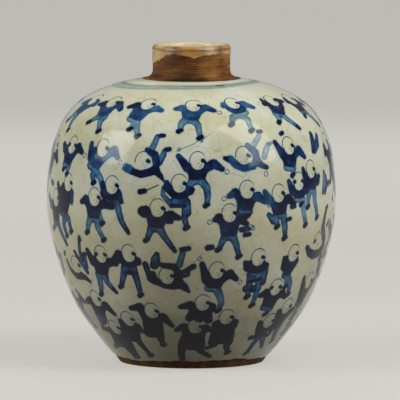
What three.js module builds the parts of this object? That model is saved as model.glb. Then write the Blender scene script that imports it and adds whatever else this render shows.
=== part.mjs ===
// A globular porcelain storage jar with a short unglazed neck, in millimetres, with +Z up.
// The origin is the centre of the foot's resting face. The jar is thrown in three pieces
// of clay, a lower half with its turned foot, an upper half and a neck, which are stuck
// together with slip and then coated with glaze. Each piece and each coat is one mesh.
import * as THREE from "three";

// Outline of the body, on the outside of its glaze
const footRadius = 50.4; // outer edge of the resting face, bare clay
const footFlare = 2.8; // how far the foot widens up to the glaze
const bareFootHeight = 4; // from the resting face to the glaze
const footSlope = 44; // degrees above the horizontal, where the glaze begins
const flankRadius = 79.8; // where the straight taper turns into the belly
const flankHeight = 38.6;
const flankSlope = 58.8; // degrees above the horizontal
const bellyRadius = 100.4; // the widest place
const bellyAboveFlank = 73.4;
const shoulderAboveBelly = 84.5; // up to where the glaze stops round the neck
const bareShoulderWidth = 7.3; // from the neck's side to the glaze
const shoulderSlope = 9.5; // degrees below the horizontal, going outwards

// How long each stretch keeps to the slope at its end, as a share of its straight length
const footPullRatio = 0.19;
const flankLowerPullRatio = 0.29;
const flankUpperPullRatio = 0.17;
const bellyLowerPullRatio = 0.34;
const bellyUpperPullRatio = 0.56;
const shoulderPullRatio = 0.44;

// Clay walls
const wallThickness = 5.2;
const floorThickness = 7;
const floorCurveReach = 22; // how far the rounding inside runs in over the floor
const footRingWidth = 7;
const footBevel = 0.8;
const baseRecess = 5; // how far the base is hollowed inside the foot ring

// Neck
const neckRadius = 26.9; // bare clay
const neckWall = 5.9;
const neckHeight = 22.4;
const lipOuterRounding = 2.6;
const lipInnerRounding = 2.2;

// Slip that sticks the pieces together
const slipThickness = 1.2;
const bodyBeadHalfHeight = 4; // the slip squeezed out inside, at the belly
const bodyBeadDepth = 1.6;
const neckFilletHeight = 5; // the slip wiped round the foot of the neck
const neckFilletRatio = 0.12; // from 0, a quarter-round, to 1, a straight bevel

// Glaze coats
const bodyGlaze = 0.5;
const thinGlaze = 0.35; // inside the jar, over the lip and under the base
const lipGlazeDepth = 7; // how far the lip's glaze runs down outside

// Faceting
const roundSegments = 48; // flat sides round the jar
const footSegments = 4;
const flankSegments = 5;
const shoulderSegments = 11;
const insideFlankSegments = 4;
const insideShoulderSegments = 7;
const lipSegments = 3;
const slipSegments = 2;

const point = (r, z) => new THREE.Vector2(r, z);

// The point reached from another by going a distance at an angle above the horizontal.
function away(from, distance, degrees) {
  const angle = THREE.MathUtils.degToRad(degrees);
  return point(from.x + distance * Math.cos(angle), from.y + distance * Math.sin(angle));
}

// Points along a curve that leaves one end and reaches the other at the given slopes. Each
// end pulls the curve along its own slope for a share of the straight distance.
function curve({ start, startSlope, startPull, end, endSlope, endPull, spans }) {
  const distance = start.distanceTo(end);
  const leaving = away(start, startPull * distance, startSlope);
  const arriving = away(end, -endPull * distance, endSlope);
  return new THREE.CubicBezierCurve(start, leaving, arriving, end).getPoints(spans);
}

// Points along a quarter-round between two points, bulging towards a corner.
function rounding(start, corner, end, spans) {
  const roundness = 0.5523; // handle length of a quarter circle, as a share of its radius
  const startHandle = start.clone().lerp(corner, roundness);
  const endHandle = end.clone().lerp(corner, roundness);
  return new THREE.CubicBezierCurve(start, startHandle, endHandle, end).getPoints(spans);
}

// Joins runs of points, leaving out a point that repeats the one before it.
function joined(...runs) {
  return runs
    .flat()
    .filter((p, i, all) => i === 0 || p.distanceTo(all[i - 1]) > 1e-6);
}

// The same line moved sideways by a distance, to the right of its direction. Each point
// moves along the mean of its two edges' normals, by enough to keep the thickness even.
function shifted(line, distance) {
  const normals = line.slice(1).map((p, i) => {
    const edge = p.clone().sub(line[i]).normalize();
    return point(edge.y, -edge.x);
  });
  return line.map((p, i) => {
    const before = normals[Math.max(i - 1, 0)];
    const after = normals[Math.min(i, normals.length - 1)];
    const mean = before.clone().add(after).normalize();
    const onAxis = p.x === 0;
    const moved = p.clone().addScaledVector(mean, distance / mean.dot(before));
    return onAxis ? point(0, moved.y) : moved;
  });
}

// A mesh turned round the jar's axis from a closed outline of radius and height. Every
// flat side is split from its lower edge's end to its upper edge's start, whichever way
// the outline runs, so that two pieces that share a surface share its triangles too.
function turned(name, material, outline) {
  const onAxis = outline[0].x === 0 && outline.at(-1).x === 0;
  const line = onAxis ? outline : [...outline, outline[0].clone()];
  const geometry = new THREE.LatheGeometry(line, roundSegments);
  geometry.rotateX(Math.PI / 2); // the lathe's axis is Y, and the jar's is Z
  const { index } = geometry;
  for (let side = 0; side < index.count / 6; side += 1) {
    const edge = side % (line.length - 1);
    if (line[edge + 1].y < line[edge].y) {
      index.setX(6 * side + 2, index.getX(6 * side + 3));
      index.setX(6 * side + 5, index.getX(6 * side));
    }
  }
  const mesh = new THREE.Mesh(geometry, material);
  mesh.name = name;
  return mesh;
}

// A coat between a surface and the same surface moved away by the coat's thickness.
function coat(name, material, surface, outside) {
  return turned(name, material, [...surface, ...outside.slice().reverse()]);
}

// Body outline, from the foot up to the neck, on the outside of the glaze
const bellyHeight = flankHeight + bellyAboveFlank;
const seamBottom = bellyHeight - slipThickness / 2;
const seamTop = bellyHeight + slipThickness / 2;
const footGlazeEdge = point(footRadius + footFlare, bareFootHeight);
const flank = point(flankRadius, flankHeight);
const shoulderEnd = point(neckRadius + bareShoulderWidth, bellyHeight + shoulderAboveBelly);
const lowerOutline = joined(
  curve({
    start: footGlazeEdge,
    startSlope: footSlope,
    startPull: footPullRatio,
    end: flank,
    endSlope: flankSlope,
    endPull: flankLowerPullRatio,
    spans: footSegments,
  }),
  curve({
    start: flank,
    startSlope: flankSlope,
    startPull: flankUpperPullRatio,
    end: point(bellyRadius, seamBottom),
    endSlope: 90,
    endPull: bellyLowerPullRatio,
    spans: flankSegments,
  }),
);
const upperOutline = curve({
  start: point(bellyRadius, seamTop),
  startSlope: 90,
  startPull: bellyUpperPullRatio,
  end: shoulderEnd,
  endSlope: 180 - shoulderSlope,
  endPull: shoulderPullRatio,
  spans: shoulderSegments,
});
const glazeOutside = [...lowerOutline, ...upperOutline];
const clayOutside = shifted(glazeOutside, -bodyGlaze);
const lowerClayOutside = clayOutside.slice(0, lowerOutline.length);
const upperClayOutside = clayOutside.slice(lowerOutline.length);

// Inside of the body: a flat floor, a rounding up to the flank, the belly and the shoulder
const bodyWall = bodyGlaze + wallThickness;
const insideRadius = bellyRadius - bodyWall;
const beadBottom = point(insideRadius, bellyHeight - bodyBeadHalfHeight);
const beadTop = point(insideRadius, bellyHeight + bodyBeadHalfHeight);
const floorHeight = baseRecess + floorThickness;
const insideFlank = away(flank, bodyWall, flankSlope + 90);
const flankRun = insideFlank.y - floorHeight;
const floorCorner = point(
  insideFlank.x - flankRun / Math.tan(THREE.MathUtils.degToRad(flankSlope)),
  floorHeight,
);
const floorEdge = point(floorCorner.x - floorCurveReach, floorHeight);
const lowerInside = joined(
  rounding(floorEdge, floorCorner, insideFlank, insideFlankSegments),
  curve({
    start: insideFlank,
    startSlope: flankSlope,
    startPull: flankUpperPullRatio,
    end: beadBottom,
    endSlope: 90,
    endPull: bellyLowerPullRatio,
    spans: insideFlankSegments,
  }),
);
const seat = upperClayOutside.at(-1); // outer edge of the flat ring that carries the neck
const boreRadius = neckRadius - neckWall;
const insideShoulder = away(shoulderEnd, -bodyWall, 90 - shoulderSlope);
const throatRun = insideShoulder.x - boreRadius;
const throatCorner = point(
  boreRadius,
  insideShoulder.y + throatRun * Math.tan(THREE.MathUtils.degToRad(shoulderSlope)),
);
const upperInside = joined(
  curve({
    start: beadTop,
    startSlope: 90,
    startPull: bellyUpperPullRatio,
    end: insideShoulder,
    endSlope: 180 - shoulderSlope,
    endPull: shoulderPullRatio,
    spans: insideShoulderSegments,
  }),
  rounding(insideShoulder, throatCorner, point(boreRadius, seat.y), slipSegments),
);

// The lower half: hollowed base, foot ring with bevelled edges, flank, and flat floor
const ringInside = footRadius - footRingWidth;
function lowerBody(material) {
  return turned("lower_body", material, [
    point(0, baseRecess),
    point(ringInside, baseRecess),
    point(ringInside, footBevel),
    point(ringInside + footBevel, 0),
    point(footRadius - footBevel, 0),
    point(footRadius, footBevel),
    ...lowerClayOutside,
    point(insideRadius, seamBottom),
    ...lowerInside.slice().reverse(),
    point(0, floorHeight),
  ]);
}

// The upper half: belly and shoulder, up to the flat ring that the neck stands on
function upperBody(material) {
  return turned("upper_body", material, [
    point(insideRadius, seamTop),
    ...upperClayOutside,
    ...upperInside.slice().reverse(),
  ]);
}

// Slip between the two halves, with a low bead where it was squeezed out inside
const beadCrest = point(insideRadius - bodyBeadDepth, bellyHeight);
const bead = joined(
  rounding(beadBottom, point(beadCrest.x, beadBottom.y), beadCrest, slipSegments),
  rounding(beadCrest, point(beadCrest.x, beadTop.y), beadTop, slipSegments),
);
function bodySeam(material) {
  return turned("body_seam", material, [
    point(insideRadius, seamBottom),
    lowerClayOutside.at(-1),
    upperClayOutside[0],
    point(insideRadius, seamTop),
    ...bead.slice().reverse(),
  ]);
}

// The neck: a straight collar with a rounded lip
const neckBottom = seat.y + slipThickness;
const neckTop = neckBottom + neckHeight;
const lipOutside = rounding(
  point(neckRadius, neckTop - lipOuterRounding),
  point(neckRadius, neckTop),
  point(neckRadius - lipOuterRounding, neckTop),
  lipSegments,
);
const lipInside = rounding(
  point(boreRadius + lipInnerRounding, neckTop),
  point(boreRadius, neckTop),
  point(boreRadius, neckTop - lipInnerRounding),
  lipSegments,
);
const lip = joined(lipOutside, lipInside);
const lipGlazeStop = point(neckRadius, neckTop - lipGlazeDepth);
const filletTop = point(neckRadius, neckBottom + neckFilletHeight);
function neck(material) {
  return turned("neck", material, [
    point(boreRadius, neckBottom),
    point(neckRadius, neckBottom),
    filletTop,
    lipGlazeStop,
    ...lip,
  ]);
}

// Slip under the neck, wiped into a hollow fillet round its foot
function neckSeam(material) {
  const neckFoot = point(neckRadius, shoulderEnd.y);
  const middle = shoulderEnd.clone().lerp(filletTop, 0.5);
  const hollow = neckFoot.lerp(middle, neckFilletRatio);
  return turned("neck_seam", material, [
    point(boreRadius, seat.y),
    seat,
    ...rounding(shoulderEnd, hollow, filletTop, lipSegments),
    point(neckRadius, neckBottom),
    point(boreRadius, neckBottom),
  ]);
}

// Glaze over the whole outside of the body, short of the foot and of the neck
function outerGlaze(material) {
  return coat("outer_glaze", material, glazeOutside, clayOutside);
}

// Glaze over the floor and up the inside as far as the lip
function innerGlaze(material) {
  const clay = joined(
    [point(0, floorHeight)],
    lowerInside,
    bead,
    upperInside,
    [point(boreRadius, neckBottom), lipInside.at(-1)],
  );
  return coat("inner_glaze", material, clay, shifted(clay, -thinGlaze));
}

// Glaze over the lip, which runs a little way down outside
function lipGlaze(material) {
  const clay = [lipGlazeStop, ...lip];
  return coat("lip_glaze", material, shifted(clay, thinGlaze), clay);
}

// Glaze on the hollowed base, inside the foot ring
function baseGlaze(material) {
  return turned("base_glaze", material, [
    point(0, baseRecess - thinGlaze),
    point(ringInside, baseRecess - thinGlaze),
    point(ringInside, baseRecess),
    point(0, baseRecess),
  ]);
}

const finish = (color, roughness) =>
  new THREE.MeshStandardMaterial({ color, roughness, metalness: 0 });
const biscuit = finish("#c9b28c", 0.85); // bare fired clay
const brownBiscuit = finish("#5b3a1c", 0.7); // bare clay stained brown round the neck
const creamGlaze = finish("#d6cfae", 0.18);
const whiteGlaze = finish("#ddd8c6", 0.22);
const honeyGlaze = finish("#b58f55", 0.3);

const jar = new THREE.Group();
jar.add(
  lowerBody(biscuit),
  upperBody(biscuit),
  bodySeam(biscuit),
  neck(brownBiscuit),
  neckSeam(brownBiscuit),
  outerGlaze(creamGlaze),
  innerGlaze(whiteGlaze),
  lipGlaze(honeyGlaze),
  baseGlaze(whiteGlaze),
);
export default jar;
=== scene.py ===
"""A globular blue-and-white storage jar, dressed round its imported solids.

Lengths are in millimetres until a mesh is made. A place on the outside of the body is an
azimuth in degrees, 0 at the front and growing to the right, and the millimetres down the
outline from the glaze's edge at the shoulder.
"""

import math

import bpy
import numpy as np
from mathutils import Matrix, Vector


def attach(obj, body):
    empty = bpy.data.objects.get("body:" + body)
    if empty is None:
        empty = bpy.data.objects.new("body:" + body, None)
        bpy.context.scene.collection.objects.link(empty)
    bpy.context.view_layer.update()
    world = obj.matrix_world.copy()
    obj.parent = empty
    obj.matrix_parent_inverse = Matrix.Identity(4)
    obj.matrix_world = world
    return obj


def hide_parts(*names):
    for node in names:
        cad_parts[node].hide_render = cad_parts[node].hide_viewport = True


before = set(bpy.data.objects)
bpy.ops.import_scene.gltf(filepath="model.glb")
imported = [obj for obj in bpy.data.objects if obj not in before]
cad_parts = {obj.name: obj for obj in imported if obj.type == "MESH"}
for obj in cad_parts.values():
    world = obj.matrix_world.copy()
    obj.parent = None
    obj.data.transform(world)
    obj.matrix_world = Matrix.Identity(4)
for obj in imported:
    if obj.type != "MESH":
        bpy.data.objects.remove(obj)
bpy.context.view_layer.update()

# Lower half of the body: a thrown bowl of porcelain clay with a turned foot ring. Only the
# foot shows, bare below the glaze and burnt brown in the kiln. It stands on the floor and
# carries everything else.
MILLIMETRE = 0.001
foot_radius, foot_flare, foot_slope, bare_foot_height = 50.4, 2.8, 44.0, 4.0
flank_radius, flank_height, flank_slope = 79.8, 38.6, 58.8
belly_radius, belly_height = 100.4, 112.0
foot_pull, flank_low_pull, flank_high_pull, belly_low_pull = 0.19, 0.29, 0.17, 0.34
glaze_thickness, wall_thickness = 0.5, 5.2
floor_height, base_height = 12.0, 5.0
floor_curve_reach, floor_pull, inside_flank_pull = 22.0, 0.30, 0.34
ring_inside, bevel = 43.4, 0.8
half_slip = 0.6


def slope_curve(start, start_slope, start_pull, end, end_slope, end_pull, count=160):
    """Points of a cubic curve. It leaves one end and reaches the other at the given slopes
    in degrees, and each end pulls it along its slope for a share of the straight distance."""
    start, end = np.array(start, float), np.array(end, float)
    reach = np.linalg.norm(end - start)
    turn = np.radians([start_slope, end_slope])
    leaving = start + start_pull * reach * np.array([np.cos(turn[0]), np.sin(turn[0])])
    arriving = end - end_pull * reach * np.array([np.cos(turn[1]), np.sin(turn[1])])
    t = np.linspace(0, 1, count)[:, None]
    return (
        (1 - t) ** 3 * start
        + 3 * (1 - t) ** 2 * t * leaving
        + 3 * (1 - t) * t**2 * arriving
        + t**3 * end
    )


def moved_in(line, distance):
    """The same line moved to its left by a distance, along the normal of its tangent."""
    tangent = np.gradient(line, axis=0)
    tangent /= np.linalg.norm(tangent, axis=1)[:, None]
    return line + distance * np.column_stack([-tangent[:, 1], tangent[:, 0]])


def lower_outline(inset=0.0):
    """The outside of the lower half from the glaze's edge at the foot up to the belly."""
    edge = (foot_radius + foot_flare, bare_foot_height)
    flank = (flank_radius, flank_height)
    belly = (belly_radius, belly_height - half_slip)
    foot = slope_curve(edge, foot_slope, foot_pull, flank, flank_slope, flank_low_pull)
    side = slope_curve(flank, flank_slope, flank_high_pull, belly, 90, belly_low_pull)
    return moved_in(np.vstack([foot, side[1:]]), inset)


def turned(name, profile, sides=192):
    """Turns a closed outline of radius and height round the jar's axis: a point lies at the
    radius times the cosine and sine of its angle. A point on the axis becomes one pole."""
    profile = np.array(profile, float)
    ahead = np.roll(profile, -1, axis=0)
    if np.sum(profile[:, 0] * ahead[:, 1] - ahead[:, 0] * profile[:, 1]) < 0:
        profile = profile[::-1]
    angle = np.linspace(0, 2 * np.pi, sides, endpoint=False)
    pole = profile[:, 0] < 1e-9
    start = np.concatenate([[0], np.cumsum(np.where(pole, 1, sides))])
    step = np.where(pole, 0, 1)[:, None]
    index = start[:-1, None] + np.arange(sides) * step
    points = [
        np.column_stack([r * np.cos(angle), r * np.sin(angle), np.full(sides, z)])[
            : 1 if flat else sides
        ]
        for (r, z), flat in zip(profile, pole)
    ]
    faces = []
    for here, there in zip(range(len(profile)), [*range(1, len(profile)), 0]):
        if pole[here] and pole[there]:
            continue
        a, b = index[here], np.roll(index[here], -1)
        c, d = np.roll(index[there], -1), index[there]
        corners = [a, c, d] if pole[here] else [a, b, d] if pole[there] else [a, b, c, d]
        faces += np.column_stack(corners).tolist()
    return shaped(name, np.vstack(points) * MILLIMETRE, faces)


def shaped(name, points, faces, crease=35):
    """A smooth-shaded object from points in metres and faces, with hard edges where two
    faces meet at more than the crease angle in degrees."""
    mesh = bpy.data.meshes.new(name)
    mesh.from_pydata(points.tolist(), [], faces)
    mesh.shade_smooth()
    mesh.set_sharp_from_angle(angle=math.radians(crease))
    made = bpy.data.objects.new(name, mesh)
    bpy.context.scene.collection.objects.link(made)
    return made


def colour(code):
    """A screen colour such as "c0a080" as linear light, with an opaque fourth channel."""
    screen = np.array([int(code[i : i + 2], 16) for i in (0, 2, 4)]) / 255
    light = np.where(screen <= 0.04045, screen / 12.92, ((screen + 0.055) / 1.055) ** 2.4)
    return (*light.tolist(), 1.0)


class Finish:
    """A surface finish built from nodes round one Principled shader."""

    def __init__(self, name, **constants):
        self.material = bpy.data.materials.new(name)
        self.material.use_nodes = True
        self.tree = self.material.node_tree
        self.shader = self.tree.nodes["Principled BSDF"]
        for socket, value in constants.items():
            self.shader.inputs[socket.replace("_", " ")].default_value = value
        self.place = self.node("TexCoord").outputs["Object"]

    def node(self, kind, inputs=(), **settings):
        """Adds a node. An input is a plain value or the output of an earlier node."""
        made = self.tree.nodes.new("ShaderNode" + kind)
        for key, value in settings.items():
            setattr(made, key, value)
        for key, value in dict(inputs).items():
            if isinstance(value, bpy.types.NodeSocket):
                self.tree.links.new(value, made.inputs[key])
            else:
                made.inputs[key].default_value = value
        return made

    def noise(self, scale, detail, rough, stretch=None):
        """Cloudy noise about 0.5. Scale is in waves a metre, stretched along each axis."""
        place = self.place
        if stretch is not None:
            place = self.node("Mapping", {"Vector": place, "Scale": stretch}).outputs[0]
        inputs = {"Vector": place, "Scale": scale, "Detail": detail, "Roughness": rough}
        return self.node("TexNoise", inputs).outputs[0]

    def math(self, kind, a, b=0.0, clamp=False):
        """One sum on one or two values."""
        return self.node("Math", {0: a, 1: b}, operation=kind, use_clamp=clamp).outputs[0]

    def times(self, first, *others):
        """The product of several values."""
        for other in others:
            first = self.math("MULTIPLY", first, other)
        return first

    def plus(self, first, *others):
        """The total of several values."""
        for other in others:
            first = self.math("ADD", first, other)
        return first

    def spread(self, value, low, high, to_low=0.0, to_high=1.0):
        """Eases a value from one range to another, and holds it at the ends."""
        inputs = {0: value, 1: low, 2: high, 3: to_low, 4: to_high}
        return self.node("MapRange", inputs, interpolation_type="SMOOTHSTEP").outputs[0]

    def mix(self, share, a, b, kind="MIX"):
        """The first colour, turned into the second or multiplied by it, by a share."""
        inputs = {0: share, 6: a, 7: b}
        return self.node("Mix", inputs, data_type="RGBA", blend_type=kind).outputs[2]

    def ramp(self, value, stops):
        """Colours along a value, from a list of (value, screen colour)."""
        made = self.node("ValToRGB", {0: value})
        band = made.color_ramp
        while len(band.elements) < len(stops):
            band.elements.new(1.0)
        for element, (at, code) in zip(band.elements, stops):
            element.position = at
            element.color = code if isinstance(code, tuple) else colour(code)
        return made.outputs[0]

    def relief(self, height, depth, under=None):
        """A bump of the given depth in millimetres, over an earlier one if given."""
        inputs = {"Height": height, "Distance": depth * MILLIMETRE, "Strength": 1.0}
        if under is not None:
            inputs["Normal"] = under
        return self.node("Bump", inputs).outputs[0]

    def surface(self, tint, roughness, relief):
        """Links the worked-out colour, roughness and relief to the shader."""
        for socket, value in (("Base Color", tint), ("Roughness", roughness), ("Normal", relief)):
            self.tree.links.new(value, self.shader.inputs[socket])

    def put_on(self, piece):
        """Makes this finish the only one on a piece."""
        piece.data.materials.clear()
        piece.data.materials.append(self.material)


wall = glaze_thickness + wall_thickness
inside_radius = belly_radius - wall
bead_half_height = 4.0
flank_normal = math.radians(flank_slope + 90)
inside_flank = (
    flank_radius + wall * math.cos(flank_normal),
    flank_height + wall * math.sin(flank_normal),
)
corner_radius = inside_flank[0] - (inside_flank[1] - floor_height) / math.tan(
    math.radians(flank_slope)
)
floor_edge = (corner_radius - floor_curve_reach, floor_height)
bead_foot = (inside_radius, belly_height - bead_half_height)
rise = slope_curve(floor_edge, 0, floor_pull, inside_flank, flank_slope, inside_flank_pull, 40)
side = slope_curve(inside_flank, flank_slope, flank_high_pull, bead_foot, 90, belly_low_pull, 60)
lower_inside = np.vstack([rise, side[1:]])
clay_outside = lower_outline(glaze_thickness)[::4]
lower_half = turned(
    "lower_half",
    [
        (0, base_height),
        (ring_inside, base_height),
        (ring_inside, bevel),
        (ring_inside + bevel, 0),
        (foot_radius - bevel, 0),
        (foot_radius, bevel),
        *clay_outside,
        (belly_radius - glaze_thickness, belly_height - half_slip),
        (inside_radius, belly_height - half_slip),
        *lower_inside[::-1],
        (0, floor_height),
    ],
)
burnt_clay = Finish("burnt_foot_clay", Specular_IOR_Level=0.25)
speckle = burnt_clay.noise(700, 4, 0.65)
scorch = burnt_clay.noise(90, 3, 0.6)
clay_colour = burnt_clay.ramp(
    scorch, [(0.30, "4a3020"), (0.48, "6d4a2f"), (0.60, "8a6444"), (0.75, "a98a63")]
)
clay_colour = burnt_clay.mix(
    burnt_clay.spread(speckle, 0.60, 0.70), clay_colour, colour("2e1c12")
)
clay_roughness = burnt_clay.spread(speckle, 0.3, 0.7, 0.75, 0.92)
burnt_clay.surface(clay_colour, clay_roughness, burnt_clay.relief(speckle, 0.12))
burnt_clay.put_on(lower_half)
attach(lower_half, "root")
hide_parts("lower_body")

# Glaze under the base: a thin disc of off-white glaze in the hollow inside the foot ring.
# It thins out to nothing where it meets the ring.
thin_glaze, thin_edge = 0.35, 0.15
base_glaze = turned(
    "base_glaze_disc",
    [
        (0, base_height - thin_glaze),
        (ring_inside - 0.9, base_height - thin_glaze),
        (ring_inside - 0.2, base_height - thin_edge),
        (ring_inside, base_height),
        (0, base_height),
    ],
)
plain_glaze = Finish("plain_glaze", Coat_Weight=0.4, Coat_Roughness=0.08)
cloud = plain_glaze.noise(35, 3, 0.6)
pinholes = plain_glaze.noise(1400, 2, 0.5)
plain_colour = plain_glaze.ramp(cloud, [(0.35, "cfc6ab"), (0.50, "dcd5bf"), (0.66, "e4dfcd")])
plain_colour = plain_glaze.mix(
    plain_glaze.spread(pinholes, 0.70, 0.76), plain_colour, colour("8d7452")
)
plain_roughness = plain_glaze.spread(cloud, 0.3, 0.7, 0.20, 0.32)
plain_glaze.surface(plain_colour, plain_roughness, plain_glaze.relief(cloud, 0.25))
plain_glaze.put_on(base_glaze)
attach(base_glaze, "root")
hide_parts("base_glaze")

# Upper half of the body and the slip that sticks it to the lower half: bare clay between
# the two glaze coats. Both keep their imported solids.
body_clay = Finish("body_clay", Specular_IOR_Level=0.25)
grain = body_clay.noise(600, 4, 0.6)
body_clay.surface(
    body_clay.ramp(grain, [(0.35, "b89d74"), (0.55, "c9b28c"), (0.70, "d8c6a4")]),
    body_clay.spread(grain, 0.3, 0.7, 0.78, 0.92),
    body_clay.relief(grain, 0.08),
)
for node_name in ("upper_body", "body_seam"):
    body_clay.put_on(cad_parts[node_name])

# Neck seam: slip under the neck, wiped into a hollow fillet. It is the brown bare ring
# between the neck and the glaze, washed with the same brown as the neck.
shoulder_radius, shoulder_height, shoulder_slope = 34.2, 196.5, 9.5
neck_radius, bore_radius = 26.9, 21.0
fillet_height, fillet_pull = 5.0, 0.42
seat_height = shoulder_height - glaze_thickness * math.cos(math.radians(shoulder_slope))
seat_radius = shoulder_radius - glaze_thickness * math.sin(math.radians(shoulder_slope))
neck_bottom = seat_height + 2 * half_slip
fillet_top = neck_bottom + fillet_height
shoulder_edge, fillet_end = (shoulder_radius, shoulder_height), (neck_radius, fillet_top)
inwards = 180 - shoulder_slope
fillet = slope_curve(shoulder_edge, inwards, fillet_pull, fillet_end, 90, fillet_pull, 14)
neck_seam = turned(
    "neck_seam_fillet",
    [
        (bore_radius, seat_height),
        (seat_radius, seat_height),
        *fillet,
        (neck_radius, neck_bottom),
        (bore_radius, neck_bottom),
    ],
)
brown_wash = Finish("brown_wash", Specular_IOR_Level=0.22)
turning = brown_wash.noise(1.0, 4, 0.65, stretch=(55, 55, 620))
patches = brown_wash.noise(1.0, 3, 0.55, stretch=(34, 34, 60))
fine = brown_wash.noise(900, 3, 0.6)
across_neck, _, height = brown_wash.node("SeparateXYZ", {0: brown_wash.place}).outputs
# Painted shade and light: the wash is darker across the middle of the neck, front and back, and
# lighter at the sides that face the lamps.
painted_shade_from_middle = brown_wash.math("ABSOLUTE", across_neck)
shade = brown_wash.plus(
    brown_wash.times(turning, 0.42),
    brown_wash.times(patches, 0.70),
    brown_wash.spread(height, 0.196, 0.204, -0.09, 0.0),
    brown_wash.spread(painted_shade_from_middle, 0.003, 0.018, -0.07, 0.06),
)
wash_colour = brown_wash.ramp(
    shade,
    [(0.34, "221002"), (0.46, "43240a"), (0.56, "683e16"), (0.66, "8a5a23"), (0.80, "b0823c")],
)
at_foot = brown_wash.spread(height, 0.1972, 0.1998, 0.85, 0.0)
grit = brown_wash.times(brown_wash.spread(fine, 0.56, 0.64), at_foot)
wash_colour = brown_wash.mix(grit, wash_colour, colour("120a04"))
wash_relief = brown_wash.relief(turning, 0.35)
wash_relief = brown_wash.relief(fine, 0.06, wash_relief)
brown_wash.surface(wash_colour, brown_wash.spread(fine, 0.3, 0.7, 0.50, 0.72), wash_relief)
brown_wash.put_on(neck_seam)
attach(neck_seam, "root")
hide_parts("neck_seam")

# Neck: a straight thrown collar with a rounded lip, luted to the shoulder. Bare clay with
# a brown wash outside, and fine turning lines all the way round. Painted shade darkens its
# middle, front and back, and painted light brightens its sides.
neck_height, lip_outer, lip_inner = 22.4, 2.6, 2.2
neck_top = neck_bottom + neck_height


def quarter_round(start, corner, end, count=9):
    """Points on an elliptical quarter from start to end that bulges to the corner."""
    start, corner, end = (np.array(p, float) for p in (start, corner, end))
    t = np.linspace(0, np.pi / 2, count)[:, None]
    centre = start + end - corner
    return centre + (start - centre) * np.cos(t) + (end - centre) * np.sin(t)


lip = np.vstack(
    [
        quarter_round(
            (neck_radius, neck_top - lip_outer),
            (neck_radius, neck_top),
            (neck_radius - lip_outer, neck_top),
        ),
        quarter_round(
            (bore_radius + lip_inner, neck_top),
            (bore_radius, neck_top),
            (bore_radius, neck_top - lip_inner),
        ),
    ]
)
side_heights = np.linspace(fillet_top, neck_top - lip_outer, 60)[:-1]
turned_off = 0.1
ridges = 0.06 * np.sin(side_heights * 3.9) + 0.05 * np.sin(side_heights * 7.3 + 1.0)
neck = turned(
    "neck_collar",
    [
        (bore_radius, neck_bottom),
        (neck_radius, neck_bottom),
        *np.column_stack([neck_radius - turned_off + ridges, side_heights]),
        *lip,
    ],
)
brown_wash.put_on(neck)
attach(neck, "root")
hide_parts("neck")

# Glaze inside: one thin off-white coat from the floor, over the low bead of slip at the
# belly, up to the lip.
bead_depth, throat_rise, bore_middle = 1.6, 2.2, neck_bottom + 8.0
belly_high_pull, shoulder_pull = 0.56, 0.44
shoulder_inside = (
    shoulder_radius - wall * math.sin(math.radians(shoulder_slope)),
    shoulder_height - wall * math.cos(math.radians(shoulder_slope)),
)
bead_height = np.linspace(-bead_half_height, bead_half_height, 13)
bead = np.column_stack(
    [
        inside_radius - bead_depth * np.cos(bead_height / bead_half_height * np.pi / 2) ** 2,
        belly_height + bead_height,
    ]
)
bead_top = (inside_radius, belly_height + bead_half_height)
upper_inside = slope_curve(
    bead_top, 90, belly_high_pull, shoulder_inside, inwards, shoulder_pull, 60
)
throat_corner = (bore_radius, shoulder_inside[1] + throat_rise)
throat = quarter_round(shoulder_inside, throat_corner, (bore_radius, seat_height))
inner_clay = np.vstack(
    [
        [(0.001, floor_height)],
        lower_inside,
        bead[1:],
        upper_inside[1:],
        throat[1:],
        [(bore_radius, bore_middle), (bore_radius, neck_top - lip_inner)],
    ]
)
inner_skin = moved_in(inner_clay, thin_glaze)
inner_skin[0] = (0, floor_height + thin_glaze)
inner_clay[0] = (0, floor_height)
inner_glaze = turned("inner_glaze_coat", [*inner_skin, *inner_clay[::-1]])
plain_glaze.put_on(inner_glaze)
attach(inner_glaze, "root")
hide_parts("inner_glaze")

# Painting on the body: boys at play, brushed in cobalt on the raw glaze before the firing.
# Each is a reserved head with a thin arc over it, a dark jacket with wide sleeves, washed
# trousers and dark shoes. A drawn line or shape is a chain of places with a half width.
belly_edge = (belly_radius, belly_height + half_slip)
upper_outline = slope_curve(
    belly_edge, 90, belly_high_pull, shoulder_edge, inwards, shoulder_pull
)
outline = np.vstack([lower_outline(), upper_outline])[::-1]
steps = np.hypot(*np.diff(outline, axis=0).T)
outline_down = np.concatenate([[0], np.cumsum(steps)])
belly_down = float(np.interp(-belly_height, -outline[:, 1], outline_down))
foot_down = float(outline_down[-1])
figures = []


def radius_at(down):
    """The body's radius at a distance down its outline."""
    return np.interp(down, outline_down, outline[:, 0])


def beside(place, right, down):
    """The place that lies so many millimetres to the right of and below another."""
    low = place[1] + down
    return (place[0] + np.degrees(right / radius_at(low)), low)


def between(start, end):
    """The way from one place to another, in millimetres to the right and down."""
    middle = radius_at((start[1] + end[1]) / 2)
    return np.array([np.radians(end[0] - start[0]) * middle, end[1] - start[1]])


def oval(centre, half_width, half_height, count, start=0.0, end=360.0):
    """Places on an oval, from one angle to another, in degrees clockwise from its top."""
    angle = np.radians(np.linspace(start, end, count))
    return [beside(centre, half_width * np.sin(a), -half_height * np.cos(a)) for a in angle]


def loop(centre, half_width, half_height, strength=0.8, count=9):
    """A small oval in thin line, as a hand or a toy."""
    return ("line", oval(centre, half_width, half_height, count), np.full(count, strength), 0)


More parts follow.
